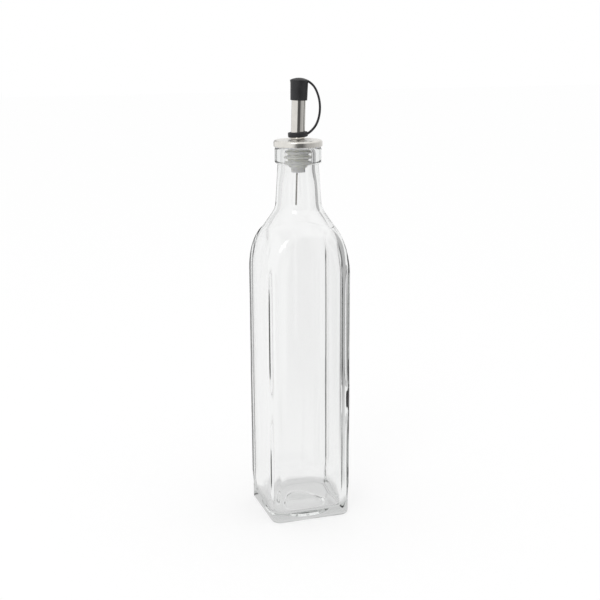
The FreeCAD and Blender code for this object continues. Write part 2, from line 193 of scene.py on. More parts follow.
def piece_from(mesh: bmesh.types.BMesh, name: str, place: Optional[Matrix] = None,
               sharp: float = 35.0) -> Object:
    """Make an object in metres, smooth but for its sharp edges.

    Args:
        mesh: the mesh in millimetres; it is used up.
        name: name of the object.
        place: where the mesh goes, in millimetres.
        sharp: edges that turn more than this many degrees stay crisp.

    Returns:
        The object, linked to the scene, at the origin.
    """
    if place is not None:
        bmesh.ops.transform(mesh, matrix=place, verts=mesh.verts)
    bmesh.ops.transform(mesh, matrix=Matrix.Scale(MM, 4), verts=mesh.verts)
    for face in mesh.faces:
        face.smooth = True
    for edge in mesh.edges:
        if edge.is_manifold and edge.calc_face_angle(0.0) > math.radians(sharp):
            edge.smooth = False
    data = bpy.data.meshes.new(name)
    mesh.to_mesh(data)
    mesh.free()
    piece = bpy.data.objects.new(name, data)
    bpy.context.scene.collection.objects.link(piece)
    return piece


def boolean(piece: Object, other: Object, operation: str) -> Object:
    """Join or cut a piece with another, which is used up.

    Args:
        piece: the object that is kept.
        other: the object that is joined on or cut away.
        operation: UNION or DIFFERENCE.

    Returns:
        The kept object.
    """
    modifier = piece.modifiers.new("join", "BOOLEAN")
    modifier.operation = operation
    modifier.solver = "EXACT"
    modifier.object = other
    bpy.context.view_layer.update()
    graph = bpy.context.evaluated_depsgraph_get()
    result = bpy.data.meshes.new_from_object(piece.evaluated_get(graph))
    piece.modifiers.clear()
    was = piece.data
    piece.data = result
    result.name = was.name
    bpy.data.meshes.remove(was)
    bpy.data.objects.remove(other)
    return piece


def settle(piece: Object, node: CadNode, material: Material) -> None:
    """Hand a finished piece to the frame.

    Args:
        piece: the finished object.
        node: the part's node it stands for.
        material: its finish.
    """
    piece.data.materials.clear()
    piece.data.materials.append(material)
    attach(piece, "root")
    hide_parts(node.value)
    triangles = sum(len(face.vertices) - 2 for face in piece.data.polygons)
    log.info("%s for %s: %d triangles", piece.name, node.value, triangles)


# ------------------------------------------------------------------ finishes
class Nodes:
    """A node tree, with short ways to add nodes that are already joined."""

    def __init__(self, tree: NodeTree) -> None:
        """Start from an empty tree."""
        self.tree = tree
        tree.nodes.clear()

    def add(self, kind: str, inputs: Optional[dict[str | int, object]] = None,
            output: str | int = 0, **settings: object) -> NodeSocket:
        """Add a node.

        Args:
            kind: the node's type, without the ShaderNode that every type starts with.
            inputs: an output to join, or a value, for each input by name or number.
            output: name or number of the output that is wanted.
            **settings: the node's own settings.

        Returns:
            The output.
        """
        node = self.tree.nodes.new("ShaderNode" + kind)
        for setting, value in settings.items():
            setattr(node, setting, value)
        for key, value in (inputs or {}).items():
            if isinstance(value, NodeSocket):
                self.tree.links.new(value, node.inputs[key])
            else:
                node.inputs[key].default_value = value
        return node.outputs[output]

    def noise(self, scale: float, detail: float = 2.0,
              stretch: Optional[Axes] = None) -> NodeSocket:
        """Add a noise that stays with the piece.

        Args:
            scale: how many waves of it fit in a metre.
            detail: how many finer layers it has.
            stretch: factor along each axis, where it isn't even.

        Returns:
            Its level, from 0 to 1.
        """
        place = self.add("TexCoord", output="Object")
        if stretch is not None:
            place = self.add("Mapping", {"Vector": place, "Scale": stretch})
        return self.add("TexNoise", {"Vector": place, "Scale": scale, "Detail": detail})

    def ramp(self, level: NodeSocket, stops: Sequence[tuple[float, Colour]]) -> NodeSocket:
        """Turn a level into a colour.

        Args:
            level: the level, from 0 to 1.
            stops: (level, colour) in rising order.

        Returns:
            The colour.
        """
        colour = self.add("ValToRGB", {"Fac": level})
        elements = colour.node.color_ramp.elements
        while len(elements) < len(stops):
            elements.new(0.5)
        for element, (position, shade) in zip(elements, stops):
            element.position = position
            element.color = (*shade, 1)
        return colour

    def tones(self, level: NodeSocket, colour: Colour, tones: Tones) -> NodeSocket:
        """Let a colour wander: tones are (level, brightness) at the darkest and the palest."""
        return self.ramp(level, [(stop, tuple(part * brightness for part in colour))
                                 for stop, brightness in tones])

    def between(self, level: NodeSocket, low: float | NodeSocket,
                high: float | NodeSocket) -> NodeSocket:
        """Turn a level from 0 to 1 into a value between two others."""
        return self.add("MapRange", {"Value": level, "To Min": low, "To Max": high})

    def bump(self, level: NodeSocket, strength: float, height: float) -> NodeSocket:
        """Raise the surface by a level, to a height in metres."""
        return self.add("Bump", {"Height": level, "Strength": strength, "Distance": height})

    def show(self, kind: str = "OutputMaterial", **shaders: NodeSocket) -> None:
        """End the tree: the shaders are for its Surface and its Volume."""
        out = self.tree.nodes.new("ShaderNode" + kind)
        for part, shader in shaders.items():
            self.tree.links.new(shader, out.inputs[part])


def new_material(name: str) -> tuple[Material, Nodes]:
    """Make a material that has no nodes yet.

    Args:
        name: its name.

    Returns:
        The material and its tree.
    """
    material = bpy.data.materials.new(name)
    material.use_nodes = True
    return material, Nodes(material.node_tree)


@dataclass(frozen=True)
class ClearGlass:
    """Clear soda-lime bottle glass, faintly grey-green where it is thick.

    Attributes:
        absorption: light lost for each metre of glass.
        tint: colour that is let through most.
        wave: height of the slow unevenness of a moulded surface, in metres.
        wave_scale: how many waves of it fit in a metre.
        wave_stretch: factor along each axis; under 1 draws the waves out.
    """

    absorption: float = 20.0
    tint: Colour = (0.66, 0.69, 0.67)
    ior: float = 1.5
    wave: float = 0.00012
    wave_scale: float = 45.0
    wave_detail: float = 1.5
    wave_stretch: Axes = (1.0, 1.0, 0.35)

    def make(self) -> Material:
        """Build the material.

        Returns:
            The material.
        """
        material, nodes = new_material("clear_bottle_glass")
        wave = nodes.noise(self.wave_scale, self.wave_detail, self.wave_stretch)
        glass = nodes.add("BsdfPrincipled", {
            "Base Color": WHITE, "Roughness": 0.0, "IOR": self.ior, "Transmission Weight": 1.0,
            "Normal": nodes.bump(wave, 1.0, self.wave)})
        depth = nodes.add("VolumeAbsorption", {"Color": (*self.tint, 1),
                                               "Density": self.absorption})
        nodes.show(Surface=glass, Volume=depth)
        return material


@dataclass(frozen=True)
class Finish:
    """A finish whose tone wanders in slow clouds, with or without a fine grain.

    Attributes:
        name: name of the material.
        colour: its own colour.
        roughness: least and most.
        tones: (level of the clouds, brightness) at the darkest and the palest.
        cloud_scale: how many clouds fit in a metre.
        grain_scale: how many grains fit in a metre along each axis, if it has any.
        grain_strength: share of the grain's full effect on the surface.
        grain_height: height of the grain, in metres.
        rough_grain: whether the roughness goes by the grain, and not by the clouds.
    """

    name: str
    colour: Colour
    roughness: Point
    tones: Tones
    cloud_scale: float
    grain_scale: Optional[Axes] = None
    grain_detail: float = 2.0
    grain_strength: float = 1.0
    grain_height: float = 0.0
    rough_grain: bool = False

    def extras(self) -> dict[str, float | Colour]:
        """The shader's values beyond colour, roughness and grain."""
        return {}

    def make(self) -> Material:
        """Build the material.

        Returns:
            The material.
        """
        material, nodes = new_material(self.name)
        cloud = nodes.noise(self.cloud_scale)
        values = {"Base Color": nodes.tones(cloud, self.colour, self.tones), **self.extras()}
        rough = cloud
        if self.grain_scale is not None:
            grain = nodes.noise(1.0, self.grain_detail, self.grain_scale)
            values["Normal"] = nodes.bump(grain, self.grain_strength, self.grain_height)
            rough = grain if self.rough_grain else cloud
        values["Roughness"] = nodes.between(rough, *self.roughness)
        nodes.show(Surface=nodes.add("BsdfPrincipled", values))
        return material


@dataclass(frozen=True)
class Steel(Finish):
    """Stainless steel with a fine drawn grain, polished unless told otherwise."""

    name: str = "polished_steel"
    colour: Colour = (0.72, 0.70, 0.66)
    roughness: Point = (0.06, 0.12)
    tones: Tones = ((0.3, 0.93), (0.7, 1.0))
    cloud_scale: float = 220.0
    grain_scale: Optional[Axes] = (900.0, 900.0, 14.0)
    grain_detail: float = 3.0
    grain_strength: float = 0.15
    grain_height: float = 0.00001
    rough_grain: bool = True

    def extras(self) -> dict[str, float | Colour]:
        """The shader's values beyond colour, roughness and grain."""
        return {"Metallic": 1.0}


@dataclass(frozen=True)
class SoftPlug(Finish):
    """Milky, greyish polyethylene that lets some light through.

    Attributes:
        clearness: share of light that passes through.
        depth: how far light spreads inside, in metres.
        spread: share of that depth for red, green and blue.
    """

    name: str = "milky_plug"
    colour: Colour = (0.98, 0.98, 0.91)
    roughness: Point = (0.40, 0.50)
    tones: Tones = ((0.35, 0.92), (0.65, 1.0))
    cloud_scale: float = 260.0
    clearness: float = 0.06
    ior: float = 1.4
    depth: float = 0.004
    spread: Colour = (1.0, 1.0, 0.9)

    def extras(self) -> dict[str, float | Colour]:
        """The shader's values beyond colour, roughness and grain."""
        return {"IOR": self.ior, "Transmission Weight": self.clearness, "Subsurface Weight": 1.0,
                "Subsurface Radius": self.spread, "Subsurface Scale": self.depth}


@dataclass(frozen=True)
class BlackRubber(Finish):
    """Matt black moulded rubber with a faint skin texture.

    Attributes:
        shine: strength of the plain reflection.
    """

    name: str = "black_rubber"
    colour: Colour = (0.016, 0.016, 0.018)
    roughness: Point = (0.44, 0.60)
    tones: Tones = ((0.3, 0.8), (0.75, 1.35))
    cloud_scale: float = 180.0
    grain_scale: Optional[Axes] = (2600.0, 2600.0, 2600.0)
    grain_strength: float = 0.25
    grain_height: float = 0.00004
    shine: float = 0.42

    def extras(self) -> dict[str, float | Colour]:
        """The shader's values beyond colour, roughness and grain."""
        return {"Specular IOR Level": self.shine}


# -------------------------------------------------------------- glass bottle
@dataclass
class GlassBottle:
    """The bottle: one closed wall of glass, from the hollow underside over the lip to the floor.

    The facets are given by four heights: where each one starts, is at its full
    depth from and to, and ends.
    """

    half: float = 30.0
    corner: float = 7.5
    height: float = 266.0
    wall: float = 3.2
    inner_corner_extra: float = 4.7
    inner_gap: float = 4.0
    floor: float = 5.5
    floor_radius: float = 4.5
    floor_shares: tuple[float, ...] = (0.8, 0.6, 0.4, 0.2)
    floor_round: float = 0.3

    heel_radius: float = 2.2
    heel_inset: float = 0.8
    heel_straight: float = 14.0
    heel_top: float = 24.0
    ring_width: float = 2.0
    ring_round: float = 0.7
    ring_shares: tuple[float, ...] = (0.3, 0.6, 0.85)
    punt_radius: float = 18.0
    punt_edge: Point = (15.5, 1.6)
    punt_edge_round: float = 2.2
    punt_depth: float = 2.4
    punt_flat: float = 0.6

    facet_depth: float = 1.43
    facet_hollow: float = 43.0
    facet_softness: float = 0.2
    upper_facet: tuple[float, float, float, float] = (96.0, 114.0, 158.0, 187.0)
    lower_facet: tuple[float, float, float, float] = (11.0, 30.0, 46.0, 82.0)

    shoulder_low: float = 177.0
    shoulder_rise: float = 36.0
    shoulder_drop: float = 8.0
    corner_growth: float = 3.2
    round_softness: float = 3.0

    neck_radius: float = 14.3
    neck_taper: float = 0.063
    neck_root: float = 14.0
    neck_bow: float = 8.0
    lip_radius: float = 16.2
    lip_height: float = 10.8
    lip_rounds: tuple[float, float, float, float] = (0.6, 1.0, 1.4, 0.5)
    bore: float = 9.9
    bore_flare: float = 0.8
    bore_start: float = 4.0
    bore_length: float = 16.0
    bore_blend: float = 9.0
    bore_blend_round: float = 12.0
    bore_bow: float = 6.0
    neck_wall: float = 3.5
    inner_root: float = 12.0

    panel_steps: int = 16
    corner_steps: int = 30
    corner_spread: float = 10.0
    heel_steps: int = 8
    body_steps: int = 70
    shoulder_steps: int = 26
    inside_steps: int = 24
    floor_steps: int = 9

    def angles(self) -> list[float]:
        """Directions of the upright edges, close together at the corners.

        Returns:
            Angles from +X, in radians, once round.
        """
        angles: list[float] = []
        edge = math.radians(45.0 - self.corner_spread)
        spread = math.radians(2 * self.corner_spread)
        for quarter in range(4):
            start = quarter * math.pi / 2
            angles += [start - edge + 2 * edge * i / self.panel_steps
                       for i in range(self.panel_steps)]
            angles += [start + edge + spread * i / self.corner_steps
                       for i in range(self.corner_steps)]
        return angles

    def corner_reach(self, half: float, corner: float) -> float:
        """Axis to the rounded corner, along the diagonal."""
        return half * math.sqrt(2) - (math.sqrt(2) - 1) * corner

    def eased_corner(self, half: float, corner: float) -> float:
        """Corner radius that nears the half width, and so a circle, without a jolt."""
        lack = (half - corner) / self.round_softness
        return half - self.round_softness * (math.log1p(math.exp(-abs(lack))) + max(lack, 0.0))

    def shoulder_at(self, share: float, extra: float, wall: float) -> tuple[Station, float]:
        """Outline on the shoulder.

        Args:
            share: how far up the shoulder's ellipse, from 0 to 1.
            extra: added to the corner radius.
            wall: how far inside the outer surface.

        Returns:
            The outline and the wall's inward slope there.
        """
        bow = math.sqrt(1 - share ** 2)
        half = self.half - self.shoulder_drop * (1 - bow)
        corner = self.corner + extra + self.corner_growth * (self.half - half)
        slope = self.shoulder_drop * share / (self.shoulder_rise * bow)
        tilt = math.atan(slope)
        inward = wall * math.cos(tilt)
        height = self.shoulder_low + self.shoulder_rise * share - wall * math.sin(tilt)
        return Station(half - inward, self.eased_corner(half, corner) - inward, height), slope

    def round_share(self) -> float:
        """Share of the shoulder's ellipse where the outline is about a circle."""
        half = (self.corner_growth * self.half + self.corner) / (1 + self.corner_growth)
        return math.sqrt(1 - (1 - (self.half - half) / self.shoulder_drop) ** 2)

    def facet_at(self, height: float) -> float:
        """Axis to the hollow facets, along the diagonal.

        Args:
            height: level above the standing face.

        Returns:
            The distance, which is infinite where no facet is near.
        """
        body = self.corner_reach(self.half, self.corner)
        heel = self.corner_reach(self.half - self.heel_inset, self.corner - self.heel_inset)
        top_share = (self.upper_facet[3] - self.shoulder_low) / self.shoulder_rise
        top, _ = self.shoulder_at(top_share, 0.0, 0.0)
        flat = body - self.facet_depth
        nearest = math.inf
        for (low, flat_low, flat_high, high), low_reach, high_reach in (
                (self.upper_facet, body, self.corner_reach(top.half, top.corner)),
                (self.lower_facet, heel, body)):
            if flat_low <= height <= flat_high:
                return flat
            if height < flat_low:
                gain, rise, past = low_reach - flat, flat_low - low, flat_low - height
            else:
                gain, rise, past = high_reach - flat, high - flat_high, height - flat_high
            bend = (rise ** 2 + gain ** 2) / (2 * gain)
            if past < bend:
                nearest = min(nearest, flat + bend - math.sqrt(bend ** 2 - past ** 2))
        return nearest

    def underside(self) -> list[Station]:
        """The round hollow under the base, the standing ring and the heel.

        Returns:
            Outlines from the hollow's middle to the heel's top.
        """
        punt = rounded_path([
            (self.punt_flat, self.punt_depth, 0), (*self.punt_edge, self.punt_edge_round),
            (self.punt_radius, 0.0, self.ring_round), (self.punt_radius + self.ring_width, 0.0, 0)])
        stations = round_stations(punt)
        ring, _ = punt[-1]
        low_half = self.half - self.heel_inset - self.heel_radius
        low_corner = self.corner - self.heel_inset - self.heel_radius
        for share in self.ring_shares:
            half = ring + share * (low_half - ring)
            stations.append(Station(half, half * (1 - share) + low_corner * share, 0.0))
        for i in range(self.heel_steps + 1):
            angle = math.radians(90 * i / self.heel_steps)
            grow = self.heel_radius * math.sin(angle)
            stations.append(Station(low_half + grow, low_corner + grow,
                                    self.heel_radius * (1 - math.cos(angle))))
        return stations

    def body_outside(self) -> list[Station]:
        """The panels and the facets; the heel's inset eases out on the way up.

        Returns:
            Outlines from the heel up to the shoulder.
        """
        low, high = self.heel_radius, self.shoulder_low
        stations = []
        for i in range(1, self.body_steps):
            height = low + (high - low) * i / self.body_steps
            share = (height - self.heel_straight) / (self.heel_top - self.heel_straight)
            share = min(1.0, max(0.0, share))
            inset = self.heel_inset * (1 - share * share * (3 - 2 * share))
            stations.append(Station(self.half - inset, self.corner - inset, height,
                                    self.facet_at(height)))
        return stations

    def shoulder(self, extra: float, wall: float) -> tuple[list[Station], float]:
        """The shoulder, from the panels up to the full circle.

        Args:
            extra: added to the corner radius at the panels, and less further up.
            wall: how far inside the outer surface.

        Returns:
            Its outlines upwards, and the wall's inward slope at the last one.
        """
        stations = []
        slope = 0.0
        for i in range(self.shoulder_steps + 1):
            climb = math.sin(math.radians(90 * i / self.shoulder_steps))
            station, slope = self.shoulder_at(self.round_share() * climb,
                                              extra * (1 - climb ** 2), wall)
            if wall == 0.0:
                station = replace(station, facet=self.facet_at(station.height))
            stations.append(station)
        return stations, slope

    def meeting(self, flank: Station, slope: float, radius: float, height: float) -> Point:
        """Where the flank meets the neck's cone, whose radius is given at a height."""
        level = ((radius + self.neck_taper * height - flank.half - slope * flank.height)
                 / (self.neck_taper - slope))
        return flank.half - slope * (level - flank.height), level

    def nearly_round(self, points: Sequence[Point], wall: float) -> list[Station]:
        """Outlines of the flank and neck, whose last trace of the square fades out upwards.

        Args:
            points: (half width, height) of each outline.
            wall: how far inside the outer surface.

        Returns:
            The outlines.
        """
        stations = []
        for half, height in points:
            outer = half + wall
            corner = self.corner + self.corner_growth * (self.half - outer)
            stations.append(Station(half, self.eased_corner(outer, corner) - wall, height))
        return stations

    def neck_outside(self, flank: Station, slope: float) -> list[Station]:
        """Flank, neck and lip.

        Args:
            flank: the shoulder's last outline.
            slope: its inward slope.

        Returns:
            Outlines from the flank up to the mouth's edge.
        """
        lip_low = self.height - self.lip_height
        root = self.meeting(flank, slope, self.neck_radius, lip_low)
        under, low, top, mouth = self.lip_rounds
        points = rounded_path([
            (flank.half, flank.height, 0), (*root, self.neck_root),
            (self.neck_radius, lip_low, under), (self.lip_radius, lip_low, low),
            (self.lip_radius, self.height, top),
            (self.bore + self.bore_flare, self.height, mouth),
            (self.bore, self.height - 2 * self.bore_flare, 0)], bow=self.neck_bow)
        return self.nearly_round(points[1:], 0.0)

    def neck_inside(self, flank: Station, slope: float) -> list[Station]:
        """The bore and the neck's inside.

        Args:
            flank: the last outline of the shoulder's inside.
            slope: its inward slope.

        Returns:
            Outlines from the mouth down to the flank.
        """
        bore_low = self.height - self.bore_length
        blend_low = bore_low - self.bore_blend
        lip_low = self.height - self.lip_height
        inner = self.neck_radius - self.neck_wall
        root = self.meeting(flank, slope, inner, lip_low)
        at_blend = inner + self.neck_taper * (lip_low - blend_low)
        points = rounded_path([
            (self.bore, self.height - self.bore_start, 0),
            (self.bore, bore_low, self.bore_blend_round),
            (at_blend, blend_low, self.bore_blend_round), (*root, self.inner_root),
            (flank.half, flank.height, 0)], bow=self.bore_bow)
        return self.nearly_round(points[:-1], self.wall)

    def inside(self) -> list[Station]:
        """The body's inner wall and floor.

        Returns:
            Outlines from the shoulder's foot down to the middle of the floor.
        """
        half = self.half - self.wall
        corner = self.corner - self.wall + self.inner_corner_extra
        high = self.shoulder_low - self.inner_gap
        bend_top = self.floor + self.floor_radius
        stations = [Station(half, corner, high + (bend_top - high) * i / self.inside_steps)
                    for i in range(self.inside_steps + 1)]
        for i in range(1, self.floor_steps + 1):
            angle = math.radians(90 * i / self.floor_steps)
            drop = self.floor_radius * (1 - math.cos(angle))
            stations.append(Station(half - drop, corner - drop,
                                    bend_top - self.floor_radius * math.sin(angle)))
        for share in self.floor_shares:
            reach = (half - self.floor_radius) * share
            rounding = self.floor_round + (1 - self.floor_round) * (1 - share)
            stations.append(Station(reach, reach * rounding, self.floor))
        return stations

    def stations(self) -> list[Station]:
        """Every outline in order.

        Returns:
            Outlines from the underside over the lip to the floor.
        """
        shoulder, slope = self.shoulder(0.0, 0.0)
        inner, inner_slope = self.shoulder(self.inner_corner_extra, self.wall)
        return (self.underside() + self.body_outside() + shoulder
                + self.neck_outside(shoulder[-1], slope)
                + self.neck_inside(inner[-1], inner_slope) + inner[::-1] + self.inside())

    def build(self) -> Object:
        """Draw the wall through its outlines, one extrusion after the other.

        Returns:
            The bottle, a single closed mesh.
        """
        turns = sorted(angle % (2 * math.pi) for angle in self.angles())
        mesh = bmesh.new()
        bmesh.ops.create_circle(mesh, cap_ends=True, cap_tris=True, segments=len(turns),
                                radius=1.0)
        ring = [v for v in mesh.verts if v.co.length > 0.5]
        centre = next(v for v in mesh.verts if v.co.length < 0.5)
        stations = self.stations()
        centre.co.z = stations[0].height

        def lay(verts: Sequence[bmesh.types.BMVert], station: Station) -> None:
            """Move a ring of vertices onto an outline.

            Args:
                verts: the ring, in any order.
                station: the outline.
            """
            around = sorted(verts, key=lambda v: math.atan2(v.co.y, v.co.x) % (2 * math.pi))
            for vert, angle in zip(around, turns):
                reach = station.reach(angle, self.facet_hollow, self.facet_softness)
                vert.co = (reach * math.cos(angle), reach * math.sin(angle), station.height)

        lay(ring, stations[0])
        for station in stations[1:] + [None]:
            members = set(ring)
            edges = [e for e in mesh.edges
                     if e.is_boundary and e.verts[0] in members and e.verts[1] in members]
            made = bmesh.ops.extrude_edge_only(mesh, edges=edges)
            ring = [g for g in made["geom"] if isinstance(g, bmesh.types.BMVert)]
            if station is None:
                bmesh.ops.pointmerge(mesh, verts=ring, merge_co=(0, 0, stations[-1].height))
            else:
                lay(ring, station)
        bmesh.ops.recalc_face_normals(mesh, faces=mesh.faces)
        return piece_from(mesh, "bottle", sharp=50.0)


# -------------------------------------------------------------------- pourer
@dataclass
class Pourer:
    """Plug, plate, spout, vent and rubber cap, all set out from the glass lip's top.

    Drops, feet and tips are heights below or above the lip; core, step and nose
    are (radius, depth) of the plug's lower end.
    """

    lip: float = 266.0
    bore: float = 9.9
    sheet: float = 0.6
    fit: float = 0.1
    plate_radius: float = 16.9
    plate_height: float = 5.0
    plate_crown: float = 0.5
    plate_round: float = 1.8
    skirt_lift: float = 0.7
    skirt_rounds: Point = (0.1, 0.25)
    spout_radius: float = 4.85
    spout_foot: float = 9.0
    spout_tip: float = 45.2
    vent_radius: float = 0.58
    vent_bore: float = 0.36
    vent_foot: float = 40.3
    vent_tip: float = 36.0
    tube_ease: float = 0.3
    lean: float = 1.85
    lean_pivot: float = 11.0
    bearing: float = -18.0

    core: Point = (7.2, 11.4)
    step: Point = (6.4, 13.8)
    nose: Point = (4.9, 16.9)
    nose_round: float = 0.5
    plug_round: float = 0.2
    edge_round: float = 0.3
    overcut: float = 1.0
    fin_drop: float = 2.6
    fin_pitch: float = 3.5
    fin_count: int = 3
    fin_thickness: float = 0.9
    fin_slope: float = 0.9
    passage: float = 3.4
    nose_wall: float = 1.6
    inlet: float = 0.85
    inlet_circle: float = 2.35
    inlet_count: int = 3

    cap_length: float = 15.1
    cap_crown: float = 1.6
    cap_wall: float = 0.85
    cap_spread: float = 0.25
    cap_rim: float = 0.35
    cap_rim_drop: float = 2.2
    cap_rounds: tuple[float, float, float, float] = (0.3, 0.15, 0.4, 4.0)
    dome_bend: float = 13.8
    ring_wall: float = 1.75
    ring_rounds: Point = (0.3, 0.7)
    ring_height: float = 3.4
    ring_middle: float = 8.6
    ring_tilt: float = 5.0
    ring_gap: float = 0.25
    tether_thickness: float = 1.5
    tether_width: float = 3.4
    tether_reach: float = 14.65
    tether_top_turn: float = 26.8
    tether_low_turn: float = -16.2
    tether_root: float = 66.0
    tether_bite: float = 0.6
    tether_round: float = 0.3
    tether_turn: float = 3.0

    rod_steps: int = 48
    vent_steps: int = 32
    steel_steps: int = 128
    soft_steps: int = 96
    dome_steps: int = 14

    def leaning(self) -> Matrix:
        """Place of the leaning pieces, which are made upright on the axis."""
        pivot = Matrix.Translation((0, 0, self.lip + self.lean_pivot))
        return Matrix.Rotation(math.radians(self.bearing), 4, "Z") @ (
            pivot @ Matrix.Rotation(math.radians(self.lean), 4, "Y") @ pivot.inverted())

    def rod(self, radius: float, low: float, high: float, name: str,
            place: Optional[Matrix] = None) -> Object:
        """A rod for cutting, made upright between two heights and then put in its place."""
        mesh = spun([(0, low), (radius, low), (radius, high), (0, high)], closed=False,
                    steps=self.rod_steps)
        return piece_from(mesh, name, place)

    def plate(self) -> Object:
        """Pressed steel disc with a rounded shoulder and a short skirt.

        Returns:
            The plate, cut out for the spout.
        """
        low = self.lip + self.skirt_lift
        top = self.lip + self.plate_height
        crown = top + self.plate_crown
        inside = self.plate_radius - self.sheet
        inner_round, outer_round = self.skirt_rounds
        outline = rounded_path([
            (0, crown - self.sheet, 0), (inside, top - self.sheet, self.plate_round - self.sheet),
            (inside, low, inner_round), (self.plate_radius, low, outer_round),
            (self.plate_radius, top, self.plate_round), (0, crown, 0),
        ], bow=7.5)
        plate = piece_from(spun(outline, closed=False, steps=self.steel_steps), "steel_plate",
                           sharp=60.0)
        seat = self.rod(self.spout_radius + self.fit, self.lip, self.lip + self.spout_tip, "seat",
                        self.leaning())
        return boolean(plate, seat, "DIFFERENCE")

    def plug_outline(self) -> list[Corner]:
        """Half of the plug's section, from the flange down to the nose.

        Returns:
            (radius, height, rounding) of each corner.
        """
        lip, soft, edge = self.lip, self.plug_round, self.edge_round
        core, core_low = self.core[0], self.lip - self.core[1]
        step, step_low = self.step[0], self.lip - self.step[1]
        nose, nose_low = self.nose[0], self.lip - self.nose[1]
        flange = self.plate_radius - self.sheet - self.fit
        flange_top = lip + self.plate_height - self.sheet - self.fit
        fin = self.bore - self.fit
        outline: list[Corner] = [
            (0, flange_top, 0), (flange, flange_top, self.plate_round - self.sheet),
            (flange, lip, soft), (core, lip, soft),
        ]
        for i in range(self.fin_count):
            top = lip - self.fin_drop - i * self.fin_pitch
            low = top - self.fin_thickness
            outline += [(core, top, soft), (fin, top, edge), (fin, low, edge)]
            if i < self.fin_count - 1:
                outline.append((core, low - self.fin_slope, soft))
        return outline + [
            (core, core_low, edge), (step, core_low, soft), (step, step_low, self.nose_round),
            (nose, step_low, soft), (nose, nose_low, self.nose_round), (0, nose_low, 0),
        ]

    def plug(self) -> Object:
        """Finned plug with its flange, the seat of the spout and the oil inlets.

        Returns:
            The plug.
        """
        lip = self.lip
        nose_low = lip - self.nose[1]
        outline = rounded_path(self.plug_outline(), bow=15.0)
        plug = piece_from(spun(outline, closed=False, steps=self.soft_steps), "plug", sharp=50.0)
        cuts = [
            self.rod(self.spout_radius + self.fit, lip - self.spout_foot, lip + self.spout_tip,
                     "seat", self.leaning()),
            self.rod(self.passage, nose_low + self.nose_wall,
                     lip - self.spout_foot + self.overcut, "passage"),
        ]
        for i in range(self.inlet_count):
            angle = math.radians(self.bearing + 360 * i / self.inlet_count)
            place = Matrix.Translation((self.inlet_circle * math.cos(angle),
                                        self.inlet_circle * math.sin(angle), 0))
            cuts.append(self.rod(self.inlet, nose_low - self.overcut,
                                 nose_low + self.nose_wall + self.overcut, "inlet", place))
        cuts.append(self.rod(self.vent_radius + self.fit / 2, lip - self.vent_foot, lip,
                             "vent_hole", self.leaning()))
        for cut in cuts:
            plug = boolean(plug, cut, "DIFFERENCE")
        return plug

    def tube(self, outer: float, inner: float, low: float, high: float, name: str,
             steps: int) -> Object:
        """A tube with rounded ends, made upright between two heights and then leant.

        Args:
            outer: outer radius.
            inner: inner radius.
            low: lower height.
            high: upper height.
            name: name of the object.
            steps: number of steps round it.

        Returns:
            The tube.
        """
        ease = (outer - inner) * self.tube_ease
        outline = rounded_path([(inner, low, ease), (outer, low, ease), (outer, high, ease),
                                (inner, high, ease)], closed=True, bow=30.0)
        return piece_from(spun(outline, closed=True, steps=steps), name, self.leaning(), sharp=60.0)

    def spout(self) -> Object:
        """The steel spout, from the plug up into the cap."""
        return self.tube(self.spout_radius, self.spout_radius - self.sheet,
                         self.lip - self.spout_foot, self.lip + self.spout_tip, "steel_spout",
                         self.steel_steps)

    def vent(self) -> Object:
        """The thin air tube."""
        return self.tube(self.vent_radius, self.vent_bore, self.lip - self.vent_foot,
                         self.lip + self.vent_tip, "steel_vent", self.vent_steps)

    def tether_arcs(self) -> list[tuple[Vector, float, float]]:
        """The tether's middle line, from the cap down to the ring.

        Returns:
            (centre, start angle, end angle) of each arc, angles in degrees.
        """
        top_bend = self.dome_bend - self.tether_thickness / 2
        top = Vector((0, 0, self.lip + self.spout_tip + self.fit + self.cap_crown - self.dome_bend))

        def spoke(degrees: float) -> Vector:
            """Unit vector in the tether's plane."""
            return Vector((math.cos(math.radians(degrees)), 0, math.sin(math.radians(degrees))))

        share = math.cos(math.radians(self.tether_top_turn))
        long_bend = (self.tether_reach - top_bend * share) / (1 - share)
        long = top + spoke(self.tether_top_turn) * (top_bend - long_bend)
        reach = self.spout_radius + self.ring_gap + self.ring_wall - self.tether_bite
        foot = Vector((reach, 0, self.lip + self.ring_middle
                       + reach * math.tan(math.radians(self.ring_tilt))))
        outward = spoke(self.tether_low_turn)
        low_start = long + outward * long_bend
        span = foot - low_start
        low_bend = -span.length_squared / (2 * span.dot(outward))
        low = low_start - outward * low_bend
        foot_angle = math.degrees(math.atan2(foot.z - low.z, foot.x - low.x))
        return [(top, self.tether_root, self.tether_top_turn),
                (long, self.tether_top_turn, self.tether_low_turn),
                (low, self.tether_low_turn, foot_angle)]

